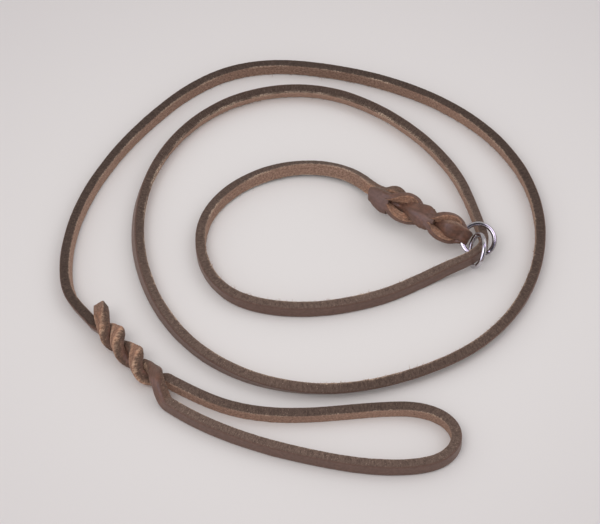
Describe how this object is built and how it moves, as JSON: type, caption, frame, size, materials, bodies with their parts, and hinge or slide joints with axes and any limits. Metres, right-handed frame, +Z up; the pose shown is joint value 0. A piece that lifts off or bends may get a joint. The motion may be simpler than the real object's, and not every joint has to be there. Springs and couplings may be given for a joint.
{
  "type": "slip lead",
  "caption": "Leather slip lead: a flat strap standing on edge with a braided hand loop at one end and a braided-in ring with a linked running ring at the other, forming a noose.",
  "frame": {"origin": "on the resting surface, at the middle of the laid-out lead", "axes": "+Z up from the surface, +Y away from the hand loop, +X towards the rings' side"},
  "size_m": [0.2678, 0.3026, 0.0194],
  "materials": {
    "leather": "grain side smooth with a slight sheen, flesh side and cut edges fuzzy and lighter",
    "ring_metal": "polished nickel plate"
  },
  "bodies": {
    "lead_outer": {"lead_top": "leather", "lead_right": "leather", "lead_bottom": "leather"},
    "lead_side": {"lead_left_upper": "leather"},
    "hand_braid": {"lead_left_lower": "leather", "handle_braid_lead": "leather", "handle_braid_tail": "leather", "handle_tail_end": "leather"},
    "hand_loop": {"handle_lower_limb": "leather", "handle_bight": "leather", "handle_upper_limb": "leather"},
    "coil_start": {"coil_left": "leather"},
    "coil": {"coil_top": "leather", "coil_right": "leather"},
    "noose": {"noose_entry": "leather", "ring_pass": "leather", "ring_exit": "leather", "noose_lower": "leather", "noose_bend": "leather", "noose_upper": "leather", "ring_braid_lead": "leather", "ring_braid_tail": "leather", "ring_eye": "leather"},
    "eye_ring": {"eye_ring": "ring_metal"},
    "running_ring": {"running_ring": "ring_metal"}
  },
  "joints": [
    {"name": "side_swing", "type": "hinge", "parent": "lead_outer", "child": "lead_side", "pos_m": [-0.1011, 0.08593, 0.0035], "axis": [0, 0, -1], "range_deg": [0, 25]},
    {"name": "hand_end_lift", "type": "hinge", "parent": "lead_side", "child": "hand_braid", "pos_m": [-0.1308, 0.002, 0.0035], "axis": [-1, 0, 0], "range_deg": [0, 60]},
    {"name": "hand_loop_lift", "type": "hinge", "parent": "hand_braid", "child": "hand_loop", "pos_m": [-0.07525, -0.09875, 0.0035], "axis": [-0.796, -0.6052, 0], "range_deg": [0, 75]},
    {"name": "coil_lift", "type": "hinge", "parent": "lead_outer", "child": "coil_start", "pos_m": [-0.06835, -0.05681, 0.0035], "axis": [1, 0, 0], "range_deg": [0, 30]},
    {"name": "coil_swing", "type": "hinge", "parent": "coil_start", "child": "coil", "pos_m": [-0.0916, 0.00193, 0.0035], "axis": [0, 0, 1], "range_deg": [-4, 3]},
    {"name": "noose_lift", "type": "hinge", "parent": "coil", "child": "noose", "pos_m": [0.07703, 0.07449, 0.0035], "axis": [-1, 0, 0], "range_deg": [0, 35]},
    {"name": "eye_ring_swing", "type": "hinge", "parent": "noose", "child": "eye_ring", "pos_m": [0.08726, 0.00768, 0.01001], "axis": [0.3256, 0.8188, 0.4728], "range_deg": [-0.5, 4]},
    {"name": "running_ring_swing", "type": "hinge", "parent": "eye_ring", "child": "running_ring", "pos_m": [0.09222, -0.00201, 0.00441], "axis": [0.9188, -0.3419, -0.1974], "range_deg": [-3, 12]}
  ]
}
